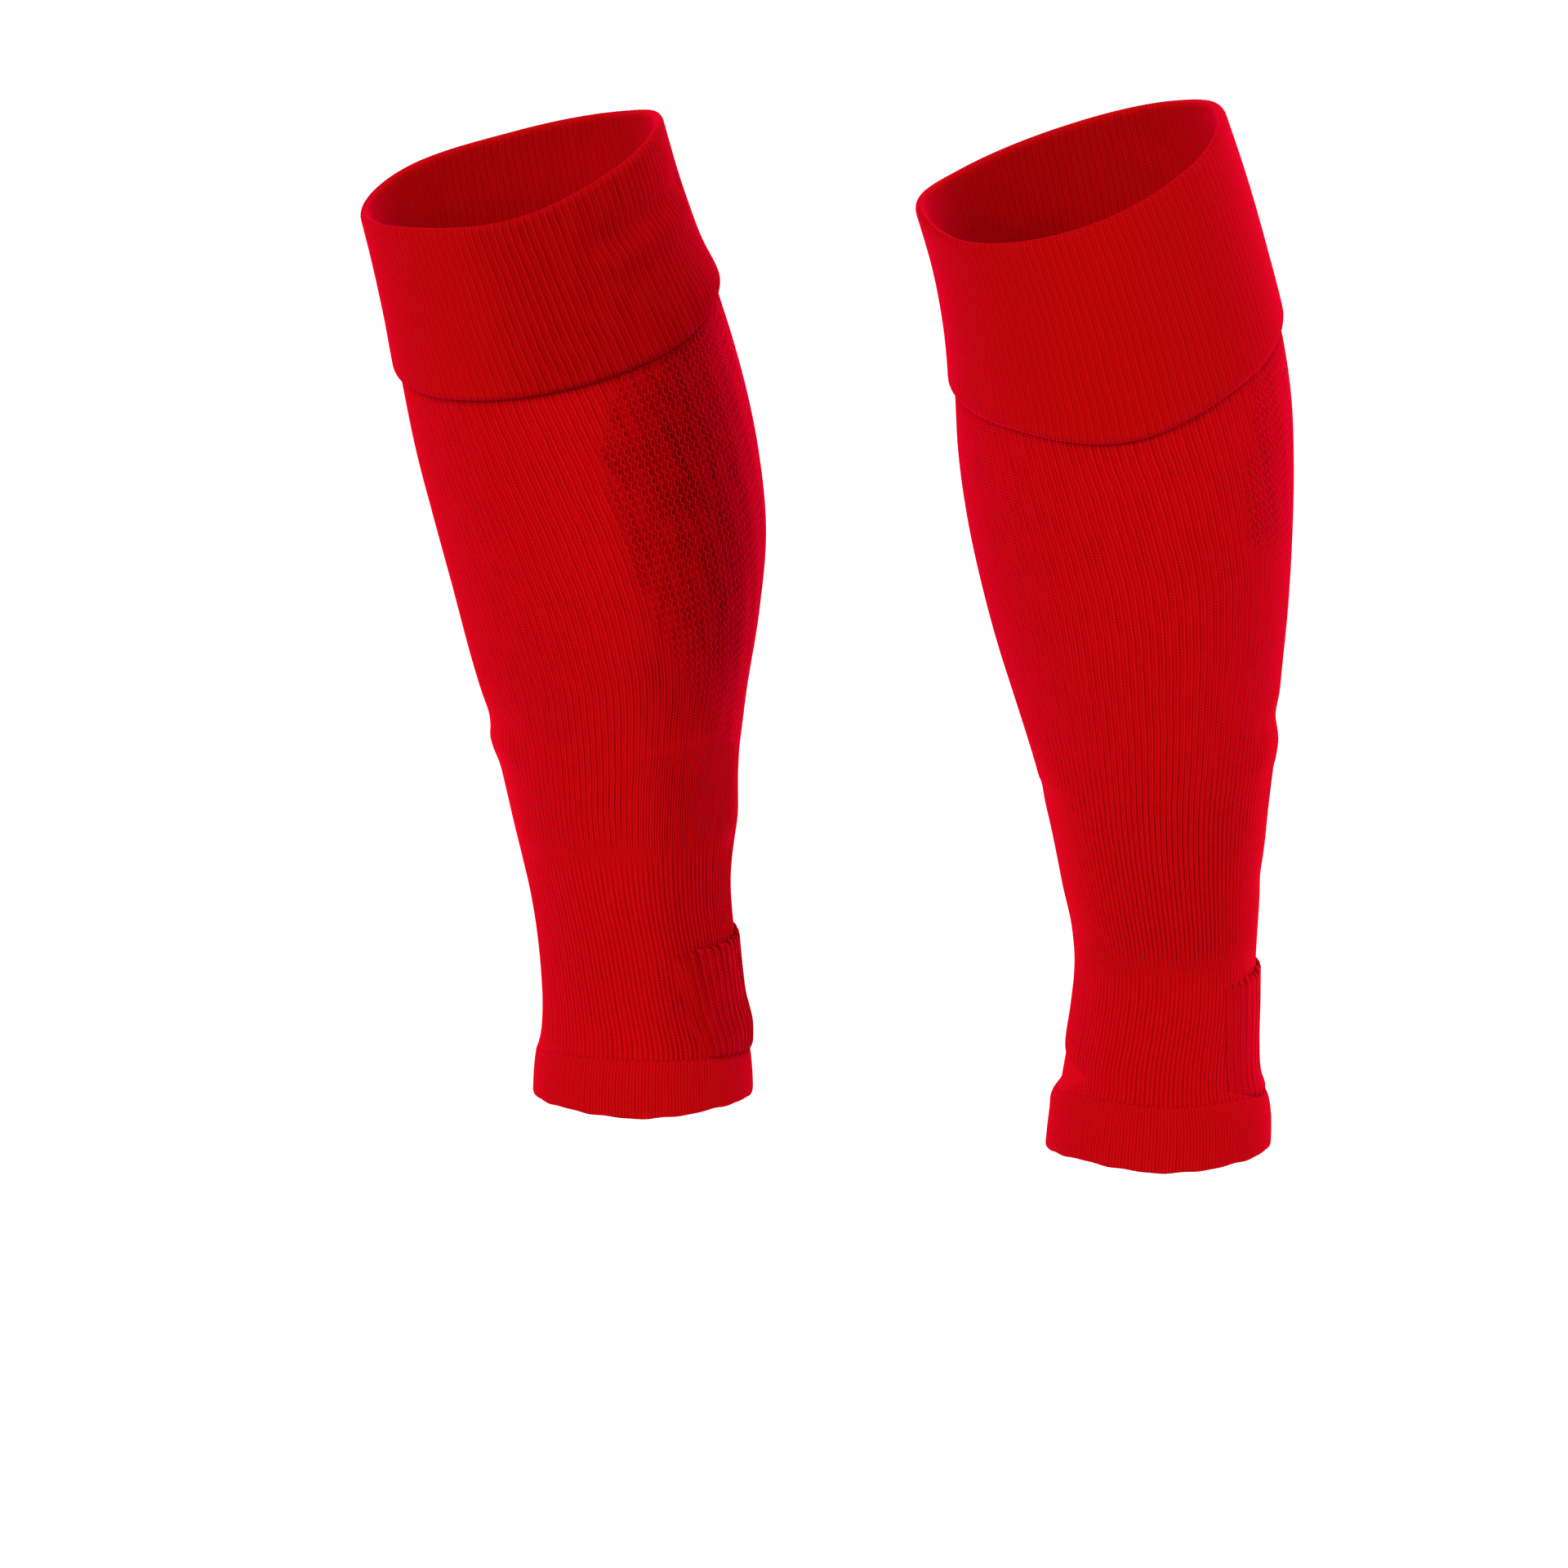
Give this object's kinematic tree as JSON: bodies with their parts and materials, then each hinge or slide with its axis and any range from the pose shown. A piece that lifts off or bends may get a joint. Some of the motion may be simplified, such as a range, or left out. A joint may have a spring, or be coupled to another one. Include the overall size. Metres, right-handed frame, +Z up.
{
  "type": "pair of footless socks",
  "caption": "Pair of red ribbed knit football socks without feet, in their worn form: open tubes with turned-down cuffs, ribbed heel patches and hem bands.",
  "frame": {"origin": "midway between the calves of the two socks, where the wearer's legs hold the pair", "axes": "+Z up the legs, -X to the shins, +X to the calves, -Y to the wearer's left"},
  "size_m": [0.3263, 0.172, 0.3792],
  "materials": {
    "leg_knit": "matte fine-ribbed knit, bright red",
    "cuff_rib": "matte bold rib knit, bright red",
    "heel_rib": "matte thick rib knit, bright red",
    "hem_knit": "matte fine doubled knit, bright red"
  },
  "bodies": {
    "root": {"left_leg": "leg_knit", "left_cuff": "cuff_rib", "left_heel_patch": "heel_rib", "left_hem": "hem_knit", "right_leg": "leg_knit", "right_cuff": "cuff_rib", "right_heel_patch": "heel_rib", "right_hem": "hem_knit"}
  },
  "joints": []
}
